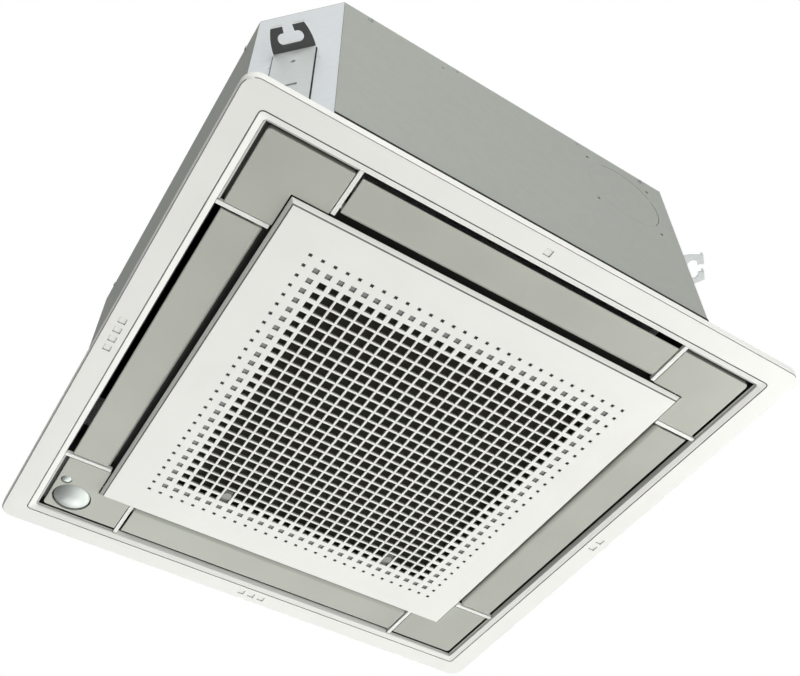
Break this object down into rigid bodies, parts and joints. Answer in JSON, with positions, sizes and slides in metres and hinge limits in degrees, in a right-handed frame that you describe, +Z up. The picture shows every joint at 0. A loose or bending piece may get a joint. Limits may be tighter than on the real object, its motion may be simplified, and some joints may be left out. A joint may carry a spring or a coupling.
{
  "type": "ceiling cassette air conditioner",
  "caption": "Square ceiling cassette unit: flat panel with a perforated suction grille, swinging outlet flaps, corner covers, sheet casing with a fan and coil inside, and hanger brackets.",
  "frame": {"origin": "middle of the ceiling plane, on the ceiling side of the panel flange", "axes": "+Z up into the ceiling void, -Y towards the side with the fresh air knock-out, +X towards the pipe side"},
  "size_m": [0.6305, 0.62, 0.3173],
  "materials": {
    "galvanised_steel": "spangled zinc coat",
    "bracket_steel": "zinc coat",
    "screw_steel": "zinc plated",
    "black_foam": "closed cell foam",
    "pan_foam": "moulded bead foam with a plastic skin",
    "rubber": "matt",
    "fin_aluminium": "thin fins",
    "copper": "drawn tube",
    "brass": "turned",
    "pump_plastic": "moulded",
    "clear_hose": "soft extruded",
    "grey_plastic": "moulded",
    "motor_paint": "resin moulded can",
    "fan_plastic": "moulded",
    "box_steel": "zinc coat",
    "circuit_green": "solder mask",
    "terminal_plastic": "moulded",
    "white_plastic": "fine satin moulding",
    "duct_plastic": "black moulding",
    "silver_plastic": "silver lacquer on plastic",
    "stepper_steel": "pressed can",
    "sensor_plastic": "polished moulding",
    "filter_net": "woven resin net in a moulded frame",
    "latch_plastic": "moulded"
  },
  "bodies": {
    "unit": {"side_plate_front": "galvanised_steel", "side_plate_right": "galvanised_steel", "side_plate_back": "galvanised_steel", "side_plate_left": "galvanised_steel", "corner_plate_1": "galvanised_steel", "corner_plate_2": "galvanised_steel", "corner_plate_3": "galvanised_steel", "corner_plate_4": "galvanised_steel", "top_plate": "galvanised_steel", "hanger_bracket_1": "bracket_steel", "hanger_bracket_2": "bracket_steel", "hanger_bracket_3": "bracket_steel", "hanger_bracket_4": "bracket_steel", "casing_screws": "screw_steel", "panel_screws": "screw_steel", "casing_insulation": "black_foam", "panel_seal": "black_foam", "drain_pan": "pan_foam", "drain_plug": "rubber", "motor_bushes": "rubber", "wiring_grommet": "rubber", "heat_exchanger": "fin_aluminium", "return_bends": "copper", "gas_pipe": "copper", "liquid_pipe": "copper", "gas_union": "brass", "liquid_union": "brass", "drain_socket": "pump_plastic", "drain_pump": "pump_plastic", "float_switch": "pump_plastic", "air_thermistor": "pump_plastic", "drain_hose": "clear_hose", "bell_mouth": "grey_plastic", "fan_motor": "motor_paint", "control_box": "box_steel", "control_box_lid": "box_steel", "circuit_board": "circuit_green", "terminal_block": "terminal_plastic", "panel_frame": "white_plastic", "panel_duct": "duct_plastic", "corner_cover_back_right": "silver_plastic", "corner_cover_front_left": "silver_plastic", "corner_cover_front_right": "silver_plastic", "sensor_cover": "silver_plastic", "flap_motors": "stepper_steel", "presence_sensor": "sensor_plastic", "floor_sensor": "sensor_plastic"},
    "fan": {"turbo_fan": "fan_plastic", "motor_shaft": "screw_steel", "fan_nut": "screw_steel"},
    "grille": {"suction_grille": "white_plastic", "air_filter": "filter_net"},
    "latch_left": {"grille_latch_left": "latch_plastic"},
    "latch_right": {"grille_latch_right": "latch_plastic"},
    "drain_float": {"switch_float": "pump_plastic"},
    "flap_front": {"flap_front": "silver_plastic"},
    "flap_right": {"flap_right": "silver_plastic"},
    "flap_back": {"flap_back": "silver_plastic"},
    "flap_left": {"flap_left": "silver_plastic"}
  },
  "joints": [
    {"name": "fan_spin", "type": "hinge", "parent": "unit", "child": "fan", "pos_m": [0, 0, 0.172], "axis": [0, 0, 1], "continuous": true},
    {"name": "flap_front_swing", "type": "hinge", "parent": "unit", "child": "flap_front", "pos_m": [0, -0.235, 0], "axis": [1, 0, 0], "range_deg": [0, 60]},
    {"name": "flap_right_swing", "type": "hinge", "parent": "unit", "child": "flap_right", "pos_m": [0.235, 0, 0], "axis": [0, 1, 0], "range_deg": [0, 60]},
    {"name": "flap_back_swing", "type": "hinge", "parent": "unit", "child": "flap_back", "pos_m": [0, 0.235, 0], "axis": [-1, 0, 0], "range_deg": [0, 60]},
    {"name": "flap_left_swing", "type": "hinge", "parent": "unit", "child": "flap_left", "pos_m": [-0.235, 0, 0], "axis": [0, -1, 0], "range_deg": [0, 60]},
    {"name": "grille_drop", "type": "hinge", "parent": "unit", "child": "grille", "pos_m": [0, -0.214, -0.004], "axis": [-1, 0, 0], "range_deg": [0, 90]},
    {"name": "latch_left_slide", "type": "slide", "parent": "grille", "child": "latch_left", "axis": [0, -1, 0], "range_m": [0, 0.006], "stiffness_N_per_m": 150},
    {"name": "latch_right_slide", "type": "slide", "parent": "grille", "child": "latch_right", "axis": [0, -1, 0], "range_m": [0, 0.006], "stiffness_N_per_m": 150},
    {"name": "float_rise", "type": "slide", "parent": "unit", "child": "drain_float", "axis": [0, 0, 1], "range_m": [0, 0.02]}
  ]
}
